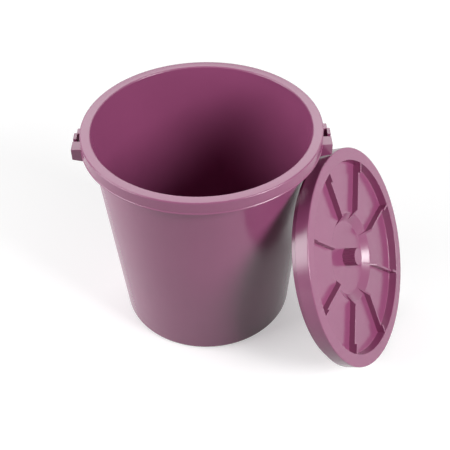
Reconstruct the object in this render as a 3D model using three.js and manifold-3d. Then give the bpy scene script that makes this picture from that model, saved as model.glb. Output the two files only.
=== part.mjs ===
import * as THREE from "three";
import { mergeVertices } from "three/addons/utils/BufferGeometryUtils.js";
import Module from "manifold-3d";

const wasm = await Module();
wasm.setup();

// Driving dimensions, in millimetres. Z is up and the bucket stands on z = 0, its axis on the Z axis.
const bucketHeight = 298;
const rimRadius = 155;
const rimOverhang = 11.4;
const skirtHeight = 17.3;
const skirtWall = 2.6;
const rimPlate = 2.8;
const rimRound = 1.6;
const mouthRound = 2;
const wall = 2.5;
const floorThickness = 3;
const bodyBaseRadius = 118.1;
const baseRound = 8;
const bucketSegments = 96;

// The lugs on the left and right of the body, just under the rim.
const lugReach = 9.6;
const lugHeight = 15.4;
const lugRootHeight = 21.5;
const lugFrontEdge = 29.6;
const lugBlockLength = 18.5;
const lugSlotWidth = 4.6;
const lugHookLength = 12;
const lugHookThickness = 4.4;
const lugStubLength = 12;
const lugStubStep = 3.4;
const lugSeat = 3.8;

// The lid, a shallow moulded tray with ribs. Closed, its edge sits on the rim by lidSeat, and a ring on its
// underside hangs into the mouth.
const lidSeat = 4.1;
const lidBandWidth = 16.7;
const lidThickness = 17.6;
const plugClearance = 2.1;
const plugDrop = 8;
const lidWall = 2.4;
const lidRound = 1.4;
const trayDepth = 11.2;
const trayDraft = 1.2;
const wellRadius = 59.4;
const wellFloorRadius = 48.6;
const wellDepth = 19.4;
const lidSegments = 96;

// The ribs in the tray. Each rises near the tray's wall and slopes down into the well.
const ribCount = 8;
const ribThickness = 3;
const ribDrop = 3.2;
const ribEndDrop = 0.4;
const ribEndLength = 13;
const ribFootRadius = 50;
const ribCrownRadius = 64;
const ribTurn = 5;

// The fluted boss in the middle of the well.
const bossRadius = 11.7;
const bossDrop = 1.9;
const fluteCount = 20;
const fluteDepth = 0.9;
const fluteSteps = 4;

// How the lid stands: its lower edge on the ground, its upper edge against the body.
const lidTilt = THREE.MathUtils.degToRad(23.9);
const lidSide = THREE.MathUtils.degToRad(-22);
const lidTwist = THREE.MathUtils.degToRad(-2);
const restGap = 0.4;

// Sunk depth that makes joined shapes overlap, so that they become one solid.
const joinDepth = 0.6;

const bucketMaterial = new THREE.MeshStandardMaterial({ color: 0x8c5273, roughness: 0.32, metalness: 0 });
const lidMaterial = new THREE.MeshStandardMaterial({ color: 0x9a5f80, roughness: 0.32, metalness: 0 });

function solidFrom(geometry) {
  const bare = new THREE.BufferGeometry();
  bare.setAttribute("position", geometry.getAttribute("position"));
  if (geometry.index) bare.setIndex(geometry.index);
  const merged = mergeVertices(bare, 1e-4);
  return new wasm.Manifold(new wasm.Mesh({
    numProp: 3,
    vertProperties: new Float32Array(merged.getAttribute("position").array),
    triVerts: new Uint32Array(merged.index.array),
  }));
}

function geometryFrom(solid) {
  const mesh = solid.getMesh();
  const geometry = new THREE.BufferGeometry();
  geometry.setAttribute("position", new THREE.BufferAttribute(mesh.vertProperties, 3));
  geometry.setIndex(new THREE.BufferAttribute(mesh.triVerts, 1));
  geometry.computeVertexNormals();
  return geometry;
}

// A lathe turned so that its axis is Z. The outline's x is the radius and its y is the height.
function turned(outline, segments) {
  return new THREE.LatheGeometry(outline, segments).rotateX(Math.PI / 2);
}

// Points of a round corner of the given radius, from one angle to another in degrees.
function arc(centreX, centreY, radius, startDegrees, endDegrees, steps = 5) {
  const points = [];
  for (let i = 0; i <= steps; i++) {
    const angle = THREE.MathUtils.degToRad(startDegrees + ((endDegrees - startDegrees) * i) / steps);
    points.push(new THREE.Vector2(centreX + radius * Math.cos(angle), centreY + radius * Math.sin(angle)));
  }
  return points;
}

// The body's outside is a cone that ends where the rim begins to reach outwards.
const bodyTopRadius = rimRadius - rimOverhang;
const bodyTaper = (bodyTopRadius - bodyBaseRadius) / bucketHeight;

function bodyRadiusAt(height) {
  return bodyBaseRadius + bodyTaper * height;
}

const skirtBottom = bucketHeight - skirtHeight;
const mouthRadius = bodyRadiusAt(bucketHeight - mouthRound) - wall;
const lidRadius = mouthRadius + lidSeat;
const trayRadius = lidRadius - lidBandWidth;
const plugRadius = mouthRadius - plugClearance;
const lidDepth = lidThickness + plugDrop;

// The tub: one wall with a flat floor, a turned-out rim and the skirt that hangs from it.
function tub() {
  const point = (radius, height) => new THREE.Vector2(radius, height);
  const slopeDegrees = THREE.MathUtils.radToDeg(Math.atan(bodyTaper));
  const outerRoundX = bodyRadiusAt(baseRound) - baseRound;
  const innerRound = baseRound - wall;
  const rimUnderside = bucketHeight - rimPlate;
  const innerRoundX = bodyRadiusAt(floorThickness + innerRound) - wall - innerRound;
  const outline = [
    point(0, 0),
    ...arc(outerRoundX, baseRound, baseRound, -90, -slopeDegrees),
    point(bodyRadiusAt(rimUnderside), rimUnderside),
    point(rimRadius - skirtWall, rimUnderside),
    point(rimRadius - skirtWall, skirtBottom),
    point(rimRadius, skirtBottom),
    ...arc(rimRadius - rimRound, bucketHeight - rimRound, rimRound, 0, 90, 4),
    ...arc(mouthRadius + mouthRound, bucketHeight - mouthRound, mouthRound, 90, 180, 4),
    ...arc(innerRoundX, floorThickness + innerRound, innerRound, -slopeDegrees, -90),
    point(0, floorThickness),
  ];
  return solidFrom(turned(outline, bucketSegments));
}

// The body's inside out to the middle of its wall. Lugs are cut by it, so that they end inside the wall.
function bodyCore() {
  const outline = [
    new THREE.Vector2(0, 0),
    new THREE.Vector2(bodyRadiusAt(0) - wall / 2, 0),
    new THREE.Vector2(bodyRadiusAt(bucketHeight) - wall / 2, bucketHeight),
    new THREE.Vector2(0, bucketHeight),
  ];
  return solidFrom(turned(outline, bucketSegments));
}

// An outline in X and Z, made thick along Y.
function plateAlongY(points, y0, y1) {
  const shape = new THREE.Shape(points.map(([x, z]) => new THREE.Vector2(x, z)));
  const geometry = new THREE.ExtrudeGeometry(shape, { depth: y1 - y0, bevelEnabled: false });
  geometry.rotateX(Math.PI / 2);
  geometry.translate(0, y1, 0);
  return solidFrom(geometry);
}

// One lug, drawn on the +X side: a block at the front, and behind it a hook with a slot that is open at the front.
// Its underside rises from the body to the outer face.
function lug() {
  const top = skirtBottom + lugSeat;
  const outer = rimRadius + lugReach;
  const rootBottom = top - lugRootHeight;
  const outerBottom = top - lugHeight;
  const body = bodyRadiusAt(rootBottom);
  const slope = (outerBottom - rootBottom) / (outer - body);
  const underside = (x) => rootBottom + slope * (x - body);
  const plate = (x0, x1, y0, y1) => {
    const points = [[x0, underside(x0)], [x1, underside(x1)], [x1, top], [x0, top]];
    return plateAlongY(points, y0, y1);
  };
  const blockBack = -lugFrontEdge + lugBlockLength;
  const hookFront = blockBack + lugSlotWidth;
  const stubFront = hookFront + lugHookLength;
  const block = plate(bodyBaseRadius, outer, -lugFrontEdge, blockBack);
  const stub = plate(bodyBaseRadius, outer - lugStubStep, stubFront, stubFront + lugStubLength);
  const hook = plate(outer - lugHookThickness, outer, hookFront, stubFront + joinDepth);
  return block.add(stub).add(hook).subtract(bodyCore());
}

function bucketSolid() {
  const rightLug = lug();
  const leftLug = rightLug.mirror([1, 0, 0]);
  return tub().add(rightLug).add(leftLug);
}

// The lid in its own frame: the open face of the tray lies on z = 0 and looks along +Z.
function lidShell() {
  const point = (radius, height) => new THREE.Vector2(radius, height);
  const outline = [
    point(0, -wellDepth - lidWall),
    point(wellFloorRadius, -wellDepth - lidWall),
    point(wellRadius, -trayDepth - lidWall),
    point(trayRadius - trayDraft + lidWall, -trayDepth - lidWall),
    point(trayRadius + lidWall, -lidWall),
    point(plugRadius - lidWall, -lidWall),
    point(plugRadius - lidWall, -lidDepth),
    point(plugRadius, -lidDepth),
    point(plugRadius, -lidWall),
    point(lidRadius - lidWall, -lidWall),
    point(lidRadius - lidWall, -lidThickness),
    point(lidRadius, -lidThickness),
    ...arc(lidRadius - lidRound, -lidRound, lidRound, 0, 90, 4),
    point(trayRadius, 0),
    point(trayRadius - trayDraft, -trayDepth),
    point(wellRadius, -trayDepth),
    point(wellFloorRadius, -wellDepth),
    point(0, -wellDepth),
  ];
  return solidFrom(turned(outline, lidSegments));
}

// One rib, an upright plate along +X.
function rib() {
  const floorDepth = trayDepth + joinDepth;
  const wellSlope = (wellDepth - trayDepth) / (wellRadius - wellFloorRadius);
  const footDepth = trayDepth + wellSlope * (wellRadius - ribFootRadius);
  const outerEnd = trayRadius + joinDepth;
  const stepRadius = trayRadius - ribEndLength;
  const shape = new THREE.Shape();
  shape.moveTo(ribFootRadius, -footDepth - joinDepth);
  shape.lineTo(wellRadius, -floorDepth);
  shape.lineTo(outerEnd, -floorDepth);
  shape.lineTo(outerEnd, -ribEndDrop);
  shape.lineTo(stepRadius, -ribEndDrop);
  shape.lineTo(stepRadius, -ribDrop);
  shape.lineTo(ribCrownRadius, -ribDrop);
  shape.lineTo(ribFootRadius, -footDepth);
  shape.closePath();
  const geometry = new THREE.ExtrudeGeometry(shape, { depth: ribThickness, bevelEnabled: false });
  geometry.translate(0, 0, -ribThickness / 2);
  geometry.rotateX(Math.PI / 2);
  return solidFrom(geometry);
}

// The boss, a post whose side has rounded grooves along it.
function boss() {
  const shape = new THREE.Shape();
  const steps = fluteCount * fluteSteps;
  for (let i = 0; i < steps; i++) {
    const angle = (2 * Math.PI * i) / steps;
    const radius = bossRadius - (fluteDepth * (1 - Math.cos(fluteCount * angle))) / 2;
    const x = radius * Math.cos(angle);
    const y = radius * Math.sin(angle);
    if (i === 0) shape.moveTo(x, y);
    else shape.lineTo(x, y);
  }
  shape.closePath();
  const height = wellDepth - bossDrop + joinDepth;
  const geometry = new THREE.ExtrudeGeometry(shape, { depth: height, bevelEnabled: false });
  geometry.translate(0, 0, -wellDepth - joinDepth);
  return solidFrom(geometry);
}

function lidSolid() {
  const oneRib = rib();
  let solid = lidShell().add(boss());
  for (let i = 0; i < ribCount; i++) {
    solid = solid.add(oneRib.rotate([0, 0, 90 - ribTurn + (360 * i) / ribCount]));
  }
  return solid;
}

const bucket = new THREE.Mesh(geometryFrom(bucketSolid()), bucketMaterial);
bucket.name = "bucket";

const lid = new THREE.Mesh(geometryFrom(lidSolid()), lidMaterial);
lid.name = "lid";

// The lid's face is turned up by its tilt, from a lid that stands on edge and looks along +X.
const leaningLid = new THREE.Group();
leaningLid.rotation.set(0, Math.PI / 2 - lidTilt, 0);
lid.rotation.z = Math.PI / 2;
leaningLid.add(lid);

// The lid's edge stands on the ground, and the top of its ring touches the body. That sets how far out it stands.
const lidHeight = lidThickness * Math.sin(lidTilt) + lidRadius * Math.cos(lidTilt);
const touchHeight = lidHeight - lidDepth * Math.sin(lidTilt) + plugRadius * Math.cos(lidTilt);
const touchRadius = bodyRadiusAt(touchHeight) + restGap;
const lidDistance = touchRadius + lidDepth * Math.cos(lidTilt) + plugRadius * Math.sin(lidTilt);

const lidPlace = new THREE.Group();
lidPlace.position.set(lidDistance * Math.cos(lidSide), lidDistance * Math.sin(lidSide), lidHeight);
lidPlace.rotation.z = lidSide + lidTwist;
lidPlace.add(leaningLid);

const assembly = new THREE.Group();
assembly.name = "bucket_with_lid";
assembly.add(bucket, lidPlace);

export default assembly;
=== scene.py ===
import math

import bmesh
import bpy
from mathutils import Matrix, Vector


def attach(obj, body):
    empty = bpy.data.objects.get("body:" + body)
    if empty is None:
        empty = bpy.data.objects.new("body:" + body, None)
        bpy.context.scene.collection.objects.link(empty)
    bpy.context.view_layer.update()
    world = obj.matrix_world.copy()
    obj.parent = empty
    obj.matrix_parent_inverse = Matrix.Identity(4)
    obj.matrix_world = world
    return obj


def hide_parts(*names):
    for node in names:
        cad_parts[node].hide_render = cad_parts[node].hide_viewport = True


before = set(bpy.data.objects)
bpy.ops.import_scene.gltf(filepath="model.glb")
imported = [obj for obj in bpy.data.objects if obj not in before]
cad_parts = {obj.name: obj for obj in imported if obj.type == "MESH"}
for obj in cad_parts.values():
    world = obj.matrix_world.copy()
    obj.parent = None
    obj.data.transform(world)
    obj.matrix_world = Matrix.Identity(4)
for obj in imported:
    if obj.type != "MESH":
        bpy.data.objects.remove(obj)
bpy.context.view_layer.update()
scene = bpy.context.scene
mm = 0.001


# camera, fitted to the outlines of the rim, the skirt and the base

camera = {
    "place": (0.02712, -0.87492, 0.90874),
    "downDegrees": 41.79,
    "rollDegrees": -1.21,
    "lens": 66.73,
    "sensor": 36,
}


def makeCamera(c):
    data = bpy.data.cameras.new("photoCamera")
    data.lens = c["lens"]
    data.sensor_width = c["sensor"]
    obj = bpy.data.objects.new("photoCamera", data)
    scene.collection.objects.link(obj)
    tilt = Matrix.Rotation(math.radians(90 - c["downDegrees"]), 4, "X")
    roll = Matrix.Rotation(math.radians(c["rollDegrees"]), 4, "Z")
    obj.matrix_world = Matrix.Translation(c["place"]) @ tilt @ roll
    scene.camera = obj


makeCamera(camera)
print("camera done")


# materials

def addNode(tree, kind, x, y, **settings):
    node = tree.nodes.new(kind)
    node.location = (x, y)
    for name, value in settings.items():
        setattr(node, name, value)
    return node


def makeMouldedGroup():
    # faint clouds, fine grain and hair scratches, as on a moulded part that has been handled
    group = bpy.data.node_groups.new("mouldedSurface", "ShaderNodeTree")
    face = group.interface
    for name, kind, value in (
        ("Vector", "NodeSocketVector", None),
        ("Cloud Scale", "NodeSocketFloat", 14),
        ("Cloud Amount", "NodeSocketFloat", 0.06),
        ("Grain Scale", "NodeSocketFloat", 850),
        ("Scratch Scale", "NodeSocketFloat", 220),
        ("Scratch Amount", "NodeSocketFloat", 0.03),
        ("Base Roughness", "NodeSocketFloat", 0.22),
        ("Cloud Roughness", "NodeSocketFloat", 0.12),
    ):
        socket = face.new_socket(name, in_out="INPUT", socket_type=kind)
        if value is not None:
            socket.default_value = value
    for name in ("Tone", "Roughness", "Height"):
        face.new_socket(name, in_out="OUTPUT", socket_type="NodeSocketFloat")

    link = group.links.new
    start = addNode(group, "NodeGroupInput", -900, 0)
    end = addNode(group, "NodeGroupOutput", 700, 0)

    cloud = addNode(group, "ShaderNodeTexNoise", -600, 300)
    cloud.inputs["Detail"].default_value = 4
    cloud.inputs["Roughness"].default_value = 0.55
    link(start.outputs["Vector"], cloud.inputs["Vector"])
    link(start.outputs["Cloud Scale"], cloud.inputs["Scale"])

    grain = addNode(group, "ShaderNodeTexNoise", -600, 0)
    grain.inputs["Detail"].default_value = 2
    link(start.outputs["Vector"], grain.inputs["Vector"])
    link(start.outputs["Grain Scale"], grain.inputs["Scale"])

    # scratches: noise stretched along the height, cut down to thin lines
    stretch = addNode(group, "ShaderNodeVectorMath", -780, -300, operation="MULTIPLY")
    stretch.inputs[1].default_value = (1, 1, 0.05)
    scratch = addNode(group, "ShaderNodeTexNoise", -600, -300)
    scratch.inputs["Detail"].default_value = 3
    scratch.inputs["Distortion"].default_value = 0.4
    link(start.outputs["Vector"], stretch.inputs[0])
    link(stretch.outputs["Vector"], scratch.inputs["Vector"])
    link(start.outputs["Scratch Scale"], scratch.inputs["Scale"])
    lines = addNode(group, "ShaderNodeMapRange", -400, -300)
    lines.inputs["From Min"].default_value = 0.62
    lines.inputs["From Max"].default_value = 0.7
    link(scratch.outputs["Fac"], lines.inputs["Value"])

    # tone runs round 1, so that a colour times it keeps its level
    centred = addNode(group, "ShaderNodeMath", -400, 300, operation="SUBTRACT")
    centred.inputs[1].default_value = 0.5
    link(cloud.outputs["Fac"], centred.inputs[0])
    tone = addNode(group, "ShaderNodeMath", -200, 300, operation="MULTIPLY_ADD")
    tone.inputs[2].default_value = 1
    link(centred.outputs["Value"], tone.inputs[0])
    link(start.outputs["Cloud Amount"], tone.inputs[1])
    link(tone.outputs["Value"], end.inputs["Tone"])

    rough = addNode(group, "ShaderNodeMath", 0, 0, operation="MULTIPLY_ADD")
    link(lines.outputs["Result"], rough.inputs[0])
    link(start.outputs["Scratch Amount"], rough.inputs[1])
    link(start.outputs["Base Roughness"], rough.inputs[2])
    clouded = addNode(group, "ShaderNodeMath", 200, 0, operation="MULTIPLY_ADD")
    link(centred.outputs["Value"], clouded.inputs[0])
    link(start.outputs["Cloud Roughness"], clouded.inputs[1])
    link(rough.outputs["Value"], clouded.inputs[2])
    link(clouded.outputs["Value"], end.inputs["Roughness"])

    height = addNode(group, "ShaderNodeMath", 0, -200, operation="MULTIPLY_ADD")
    height.inputs[1].default_value = 0.6
    link(cloud.outputs["Fac"], height.inputs[0])
    link(grain.outputs["Fac"], height.inputs[2])
    link(height.outputs["Value"], end.inputs["Height"])
    return group


mouldedSurface = makeMouldedGroup()

bucketPlastic = {
    "colour": (0.285, 0.07, 0.168),
    "roughness": 0.22,
    "ior": 1.6,
    "cloudScale": 11,
    "cloudAmount": 0.16,
    "cloudRoughness": 0.12,
    "grainScale": 850,
    "scratchScale": 220,
    "scratchAmount": 0.03,
    "bump": 0.05,
    "bumpDepth": 0.0004,
}

lidPlastic = {
    "colour": (0.285, 0.07, 0.168),
    "roughness": 0.22,
    "ior": 1.6,
    "cloudScale": 16,
    "cloudAmount": 0.16,
    "cloudRoughness": 0.12,
    "grainScale": 850,
    "scratchScale": 220,
    "scratchAmount": 0.03,
    "bump": 0.05,
    "bumpDepth": 0.0004,
}


def makePlastic(name, p):
    material = bpy.data.materials.new(name)
    material.use_nodes = True
    tree = material.node_tree
    link = tree.links.new
    shader = tree.nodes["Principled BSDF"]
    shader.inputs["IOR"].default_value = p["ior"]
    coords = addNode(tree, "ShaderNodeTexCoord", -900, 0)
    surface = addNode(tree, "ShaderNodeGroup", -650, 0, node_tree=mouldedSurface)
    for socket, key in (
        ("Cloud Scale", "cloudScale"),
        ("Cloud Amount", "cloudAmount"),
        ("Cloud Roughness", "cloudRoughness"),
        ("Grain Scale", "grainScale"),
        ("Scratch Scale", "scratchScale"),
        ("Scratch Amount", "scratchAmount"),
        ("Base Roughness", "roughness"),
    ):
        surface.inputs[socket].default_value = p[key]
    link(coords.outputs["Object"], surface.inputs["Vector"])
    colour = addNode(tree, "ShaderNodeMix", -350, 200, data_type="RGBA", blend_type="MULTIPLY")
    colour.inputs["Factor"].default_value = 1
    colour.inputs["A"].default_value = (*p["colour"], 1)
    grey = addNode(tree, "ShaderNodeCombineColor", -500, 200)
    for channel in ("Red", "Green", "Blue"):
        link(surface.outputs["Tone"], grey.inputs[channel])
    link(grey.outputs["Color"], colour.inputs["B"])
    link(colour.outputs["Result"], shader.inputs["Base Color"])
    link(surface.outputs["Roughness"], shader.inputs["Roughness"])
    bump = addNode(tree, "ShaderNodeBump", -350, -200)
    bump.inputs["Strength"].default_value = p["bump"]
    bump.inputs["Distance"].default_value = p["bumpDepth"]
    link(surface.outputs["Height"], bump.inputs["Height"])
    link(bump.outputs["Normal"], shader.inputs["Normal"])
    return material


bucketMaterial = makePlastic("bucketPlastic", bucketPlastic)
lidMaterial = makePlastic("lidPlastic", lidPlastic)
print("materials done")


# mesh helpers

def spinOutline(outline, steps):
    # outline rows are radius, height and the size of the corner's bevel, all in millimetres
    bm = bmesh.new()
    verts = [bm.verts.new((radius * mm, 0, height * mm)) for radius, height, _ in outline]
    for first, second in zip(verts, verts[1:]):
        bm.edges.new((first, second))
    bmesh.ops.spin(bm, geom=bm.verts[:] + bm.edges[:], cent=(0, 0, 0), axis=(0, 0, 1),
                   angle=math.tau, steps=steps, use_merge=True)
    bmesh.ops.remove_doubles(bm, verts=bm.verts, dist=1e-6)
    bmesh.ops.recalc_face_normals(bm, faces=bm.faces)
    for radius, height, size in outline:
        if size:
            roundRing(bm, radius * mm, height * mm, size * mm)
    return bm


def roundRing(bm, radius, height, size):
    near = 0.02 * mm

    def onRing(vert):
        return abs(vert.co.z - height) < near and abs(vert.co.xy.length - radius) < near

    ring = [edge for edge in bm.edges if all(onRing(vert) for vert in edge.verts)]
    segments = 3 if size < 4 * mm else 8
    bevelEdges(bm, ring, size, segments)


def bevelEdges(bm, edges, size, segments):
    bmesh.ops.bevel(bm, geom=edges, offset=size, offset_type="OFFSET", segments=segments,
                    profile=0.5, affect="EDGES", material=-1, clamp_overlap=True)


def extrudeOutline(bm, points, y0, y1):
    # a flat face in x and z, pulled out along y. Returns the verts of the new solid
    verts = [bm.verts.new((x * mm, y0 * mm, z * mm)) for x, z in points]
    face = bm.faces.new(verts)
    pulled = bmesh.ops.extrude_face_region(bm, geom=[face])["geom"]
    moved = [part for part in pulled if isinstance(part, bmesh.types.BMVert)]
    bmesh.ops.translate(bm, verts=moved, vec=(0, (y1 - y0) * mm, 0))
    return verts + moved


def makePiece(name, bm, material, place=None, sharpDegrees=42):
    bmesh.ops.recalc_face_normals(bm, faces=bm.faces)
    if place:
        bmesh.ops.transform(bm, matrix=place, verts=bm.verts)
    mesh = bpy.data.meshes.new(name)
    bm.to_mesh(mesh)
    bm.free()
    mesh.materials.append(material)
    mesh.shade_smooth()
    mesh.set_sharp_from_angle(angle=math.radians(sharpDegrees))
    piece = bpy.data.objects.new(name, mesh)
    scene.collection.objects.link(piece)
    evened = piece.modifiers.new("evenNormals", "WEIGHTED_NORMAL")
    evened.keep_sharp = True
    evened.weight = 100
    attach(piece, "root")
    return piece


# bucket

tub = {
    "height": 298,
    "rimRadius": 155,
    "lip": 0.6,          # how far the skirt's lower edge stands proud
    "lipHeight": 1.7,
    "skirtHeight": 17.3,
    "skirtWall": 2.6,
    "rimPlate": 2.8,
    "topRadius": 143.6,
    "baseRadius": 118.1,
    "wall": 2.5,
    "floor": 3,
    "baseRound": 7.4,
    "floorRound": 5.4,
    "rimRound": 1.5,
    "mouthRound": 1.9,
    "mouthDepth": 2,     # where the wall's line ends, below the top of the rim
    "footInside": 101.1,
    "footSlope": 1,
    "footRecess": 1.2,
    "steps": 288,
}


def tubRadius(height):
    return tub["baseRadius"] + (tub["topRadius"] - tub["baseRadius"]) * height / tub["height"]


def makeTub(t):
    under = t["height"] - t["rimPlate"]
    skirtLow = t["height"] - t["skirtHeight"]
    skirtFace = t["rimRadius"] - t["lip"]
    skirtInside = t["rimRadius"] - t["skirtWall"]
    mouth = tubRadius(t["height"] - t["mouthDepth"]) - t["wall"]
    outline = [
        (0, t["footRecess"], 0),
        (t["footInside"], t["footRecess"], 0),
        (t["footInside"] + t["footSlope"], 0, 0.4),
        (tubRadius(0), 0, t["baseRound"]),
        (tubRadius(under), under, 0.8),
        (skirtInside, under, 0.8),
        (skirtInside, skirtLow, 0.5),
        (t["rimRadius"], skirtLow, 0.5),
        (t["rimRadius"], skirtLow + t["lipHeight"], 0.4),
        (skirtFace, skirtLow + t["lipHeight"] + 0.5, 0.3),
        (skirtFace, t["height"], t["rimRound"]),
        (mouth, t["height"], t["mouthRound"]),
        (tubRadius(t["floor"]) - t["wall"], t["floor"], t["floorRound"]),
        (0, t["floor"], 0),
    ]
    return spinOutline(outline, t["steps"])


bucketTub = makePiece("bucketTub", makeTub(tub), bucketMaterial)
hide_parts("bucket")
print("tub done")


# lugs

lug = {
    "reach": 9.6,
    "height": 15.4,
    "rootHeight": 21.5,
    "frontEdge": 29.6,
    "blockLength": 18.5,
    "slotWidth": 4.6,
    "hookLength": 12,
    "hookThickness": 4.4,
    "stubLength": 12,
    "stubStep": 3.4,
    "seat": 3.8,         # its top above the skirt's lower edge
    "rootSink": 1.2,
    "hookJoin": 2,       # how far the hook reaches into the stub
    "edge": 0.7,
}


def makeLug(g, side):
    bm = bmesh.new()
    top = tub["height"] - tub["skirtHeight"] + g["seat"]
    outer = tub["rimRadius"] + g["reach"]
    root = tubRadius(top - g["rootHeight"])
    slope = (g["rootHeight"] - g["height"]) / (outer - root)
    inner = root - g["rootSink"]

    def plate(x0, x1, y0, y1):
        low0 = top - g["rootHeight"] + slope * (x0 - root)
        low1 = top - g["rootHeight"] + slope * (x1 - root)
        verts = extrudeOutline(bm, [(x0, low0), (x1, low1), (x1, top), (x0, top)], y0, y1)
        # the root ends in the middle of the tub's wall and follows its curve
        for vert in verts:
            if x0 == inner and abs(vert.co.x - x0 * mm) < 1e-6:
                middle = tubRadius(vert.co.z / mm) - tub["wall"] / 2
                vert.co.x = math.sqrt(middle ** 2 - (vert.co.y / mm) ** 2) * mm
        edges = {edge for vert in verts for edge in vert.link_edges}
        bevelEdges(bm, list(edges), g["edge"] * mm, 2)

    slotFront = -g["frontEdge"] + g["blockLength"]
    slotBack = slotFront + g["slotWidth"]
    stubFront = slotBack + g["hookLength"]
    plate(inner, outer, -g["frontEdge"], slotFront)
    plate(inner, outer - g["stubStep"], stubFront, stubFront + g["stubLength"])
    plate(outer - g["hookThickness"], outer, slotBack, stubFront + g["hookJoin"])
    if side < 0:
        bmesh.ops.scale(bm, vec=(-1, 1, 1), verts=bm.verts)
    return bm


for side, name in ((1, "lugRight"), (-1, "lugLeft")):
    makePiece(name, makeLug(lug, side), bucketMaterial)
print("lugs done")


# lid

lid = {
    "radius": 144.96,
    "band": 16.7,
    "thickness": 17.6,
    "wall": 2.4,
    "plugRadius": 138.8,
    "plugDrop": 8,
    "trayDepth": 11.2,
    "trayDraft": 1.2,
    "wellRadius": 59.4,
    "wellFloor": 48.6,
    "wellDepth": 19.4,
    "steps": 256,
    "centre": (204.055, -82.443, 139.724),   # the middle of the tray's open face
    "tilt": 23.9,
    "turn": -24,
}

ribs = {
    "count": 8,
    "thickness": 3,
    "drop": 3.2,
    "endDrop": 0.4,
    "endLength": 13,
    "footRadius": 50,
    "crownRadius": 64,
    "turn": 5,
    "sink": 0.6,         # how far the ribs reach into the lid's wall
    "edge": 0.45,
}

boss = {
    "radius": 11.7,
    "drop": 1.9,
    "flutes": 20,
    "fluteDepth": 0.9,
    "fluteSteps": 8,
    "sink": 0.6,
    "chamfer": 0.5,
    "crown": 0.3,
}


def lidPlace(d):
    lean = Matrix.Rotation(math.radians(90 - d["tilt"]), 4, "Y")
    turn = Matrix.Rotation(math.radians(d["turn"]), 4, "Z")
    quarter = Matrix.Rotation(math.pi / 2, 4, "Z")
    return Matrix.Translation(Vector(d["centre"]) * mm) @ turn @ lean @ quarter


def makeLidDisc(d):
    tray = d["radius"] - d["band"]
    trayFloor = tray - d["trayDraft"]
    wall = d["wall"]
    deep = d["thickness"] + d["plugDrop"]
    outline = [
        (0, -d["wellDepth"] - wall, 0),
        (d["wellFloor"], -d["wellDepth"] - wall, 1),
        (d["wellRadius"], -d["trayDepth"] - wall, 1),
        (trayFloor + wall, -d["trayDepth"] - wall, 1),
        (tray + wall, -wall, 0.6),
        (d["plugRadius"] - wall, -wall, 0.5),
        (d["plugRadius"] - wall, -deep, 0.6),
        (d["plugRadius"], -deep, 0.6),
        (d["plugRadius"], -wall, 0.5),
        (d["radius"] - wall, -wall, 0.8),
        (d["radius"] - wall, -d["thickness"], 0.5),
        (d["radius"], -d["thickness"], 0.5),
        (d["radius"], 0, 1.4),
        (tray, 0, 0.7),
        (trayFloor, -d["trayDepth"], 0.8),
        (d["wellRadius"], -d["trayDepth"], 0.9),
        (d["wellFloor"], -d["wellDepth"], 0.9),
        (0, -d["wellDepth"], 0),
    ]
    return spinOutline(outline, d["steps"])


def makeRibs(r, d):
    bm = bmesh.new()
    tray = d["radius"] - d["band"]
    slope = (d["wellDepth"] - d["trayDepth"]) / (d["wellRadius"] - d["wellFloor"])
    foot = d["trayDepth"] + slope * (d["wellRadius"] - r["footRadius"])
    step = tray - r["endLength"]
    points = [
        (r["footRadius"], -foot - r["sink"]),
        (d["wellRadius"], -d["trayDepth"] - r["sink"]),
        (tray + r["sink"], -d["trayDepth"] - r["sink"]),
        (tray + r["sink"], -r["endDrop"]),
        (step, -r["endDrop"]),
        (step, -r["drop"]),
        (r["crownRadius"], -r["drop"]),
        (r["footRadius"], -foot),
    ]
    half = r["thickness"] / 2
    verts = extrudeOutline(bm, points, -half, half)
    hidden = (-foot - r["sink"] / 2) * mm
    edges = {edge for vert in verts for edge in vert.link_edges}
    shown = [edge for edge in edges if min(vert.co.z for vert in edge.verts) > hidden]
    bevelEdges(bm, shown, r["edge"] * mm, 2)
    first = Matrix.Rotation(math.radians(90 - r["turn"]), 3, "Z")
    bmesh.ops.rotate(bm, verts=bm.verts, cent=(0, 0, 0), matrix=first)
    bmesh.ops.spin(bm, geom=bm.verts[:] + bm.edges[:] + bm.faces[:], cent=(0, 0, 0), axis=(0, 0, 1),
                   angle=math.tau * (1 - 1 / r["count"]), steps=r["count"] - 1, use_duplicate=True)
    return bm


def makeBoss(b, d):
    bm = bmesh.new()
    steps = b["flutes"] * b["fluteSteps"]
    bmesh.ops.create_circle(bm, cap_ends=True, segments=steps, radius=b["radius"] * mm)
    for vert in bm.verts:
        angle = math.atan2(vert.co.y, vert.co.x)
        groove = b["fluteDepth"] * (1 - math.cos(b["flutes"] * angle)) / 2
        vert.co.xy = vert.co.xy * (1 - groove / b["radius"])
    bmesh.ops.translate(bm, verts=bm.verts, vec=(0, 0, (-d["wellDepth"] - b["sink"]) * mm))
    pulled = bmesh.ops.extrude_face_region(bm, geom=bm.faces[:])["geom"]
    top = [part for part in pulled if isinstance(part, bmesh.types.BMVert)]
    bmesh.ops.translate(bm, verts=top, vec=(0, 0, (d["wellDepth"] + b["sink"] - b["drop"]) * mm))
    cap = [face for face in bm.faces if all(vert in top for vert in face.verts)]
    bmesh.ops.inset_region(bm, faces=cap, thickness=b["chamfer"] * mm, depth=b["crown"] * mm)
    return bm


place = lidPlace(lid)
lidDisc = makePiece("lidDisc", makeLidDisc(lid), lidMaterial, place)
makePiece("lidRibs", makeRibs(ribs, lid), lidMaterial, place)
makePiece("lidBoss", makeBoss(boss, lid), lidMaterial, place)
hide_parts("lid")
print("lid done")


# floor, lights and world

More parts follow.
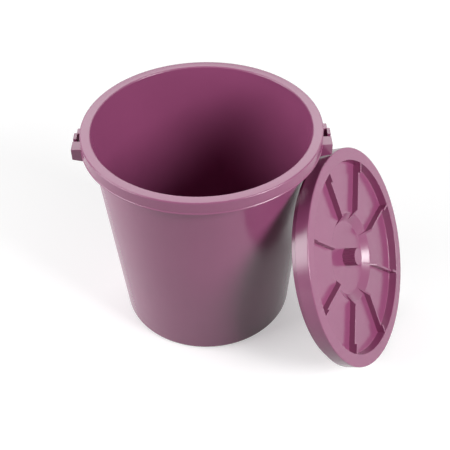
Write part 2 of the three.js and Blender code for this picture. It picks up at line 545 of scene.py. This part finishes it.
studio = {
    "floorColour": (0.64, 0.64, 0.64),   # as the camera and reflections see it
    "floorBounce": (0.15, 0.145, 0.15),  # as it lights the plastic
    "floorGlow": 0.46,
    "glowNear": 0.6,     # metres from the bucket's axis, where the floor starts to grow whiter
    "glowFar": 1.8,
    "worldLight": 0.0,
    "lamps": [
        # name, azimuth from +X and elevation in degrees, distance, width and height in metres, watts
        ("keyRight", -36, 31, 1.8, 0.8, 0.8, 33),
        ("fillLeft", 191, 25, 1.8, 1.4, 1.1, 32),
        ("backTop", 90, 43, 1.8, 1.5, 0.7, 9),
    ],
    "target": (0.05, -0.02, 0.16),
}


def addSeenMask(tree):
    # 1 where the camera sees the surroundings, straight or in a gloss or through glass
    path = addNode(tree, "ShaderNodeLightPath", -900, 0)
    gloss = addNode(tree, "ShaderNodeMath", -650, 0, operation="ADD", use_clamp=True)
    tree.links.new(path.outputs["Is Camera Ray"], gloss.inputs[0])
    tree.links.new(path.outputs["Is Glossy Ray"], gloss.inputs[1])
    seen = addNode(tree, "ShaderNodeMath", -450, 0, operation="ADD", use_clamp=True)
    tree.links.new(gloss.outputs["Value"], seen.inputs[0])
    tree.links.new(path.outputs["Is Transmission Ray"], seen.inputs[1])
    return seen.outputs["Value"]


def makeFloor(s):
    bm = bmesh.new()
    bmesh.ops.create_grid(bm, x_segments=1, y_segments=1, size=4)
    mesh = bpy.data.meshes.new("studioFloor")
    bm.to_mesh(mesh)
    bm.free()
    floor = bpy.data.objects.new("studioFloor", mesh)
    scene.collection.objects.link(floor)
    material = bpy.data.materials.new("studioFloor")
    material.use_nodes = True
    tree = material.node_tree
    link = tree.links.new
    shader = tree.nodes["Principled BSDF"]
    shader.inputs["Roughness"].default_value = 0.9
    shader.inputs["Specular IOR Level"].default_value = 0.1
    shader.inputs["Emission Color"].default_value = (1, 1, 1, 1)
    seen = addSeenMask(tree)
    colour = addNode(tree, "ShaderNodeMix", -250, 200, data_type="RGBA")
    colour.inputs["A"].default_value = (*s["floorBounce"], 1)
    colour.inputs["B"].default_value = (*s["floorColour"], 1)
    link(seen, colour.inputs["Factor"])
    link(colour.outputs["Result"], shader.inputs["Base Color"])
    # the glow grows away from the object, so that the floor runs out into the white background
    coords = addNode(tree, "ShaderNodeTexCoord", -900, -400)
    distance = addNode(tree, "ShaderNodeVectorMath", -700, -400, operation="LENGTH")
    spread = addNode(tree, "ShaderNodeMapRange", -500, -400)
    spread.inputs["From Min"].default_value = s["glowNear"]
    spread.inputs["From Max"].default_value = s["glowFar"]
    spread.inputs["To Min"].default_value = s["floorGlow"]
    link(coords.outputs["Object"], distance.inputs[0])
    link(distance.outputs["Value"], spread.inputs["Value"])
    glow = addNode(tree, "ShaderNodeMath", -250, -200, operation="MULTIPLY")
    link(seen, glow.inputs[0])
    link(spread.outputs["Result"], glow.inputs[1])
    link(glow.outputs["Value"], shader.inputs["Emission Strength"])
    mesh.materials.append(material)


def makeWorld(s):
    world = bpy.data.worlds.new("studioWorld")
    scene.world = world
    world.use_nodes = True
    tree = world.node_tree
    link = tree.links.new
    background = tree.nodes["Background"]
    background.inputs["Color"].default_value = (1, 1, 1, 1)
    seen = addSeenMask(tree)
    strength = addNode(tree, "ShaderNodeMapRange", -250, 0)
    strength.inputs["To Min"].default_value = s["worldLight"]
    strength.inputs["To Max"].default_value = 1
    link(seen, strength.inputs["Value"])
    link(strength.outputs["Result"], background.inputs["Strength"])


def makeLamps(s):
    target = Vector(s["target"])
    for name, azimuth, elevation, distance, width, height, watts in s["lamps"]:
        data = bpy.data.lights.new(name, "AREA")
        data.shape = "RECTANGLE"
        data.size = width
        data.size_y = height
        data.energy = watts
        a, e = math.radians(azimuth), math.radians(elevation)
        away = Vector((math.cos(a) * math.cos(e), math.sin(a) * math.cos(e), math.sin(e)))
        lamp = bpy.data.objects.new(name, data)
        scene.collection.objects.link(lamp)
        lamp.location = target + away * distance
        lamp.rotation_euler = away.to_track_quat("Z", "Y").to_euler()


makeFloor(studio)
makeWorld(studio)
makeLamps(studio)
scene.view_settings.view_transform = "Standard"
print("studio done")
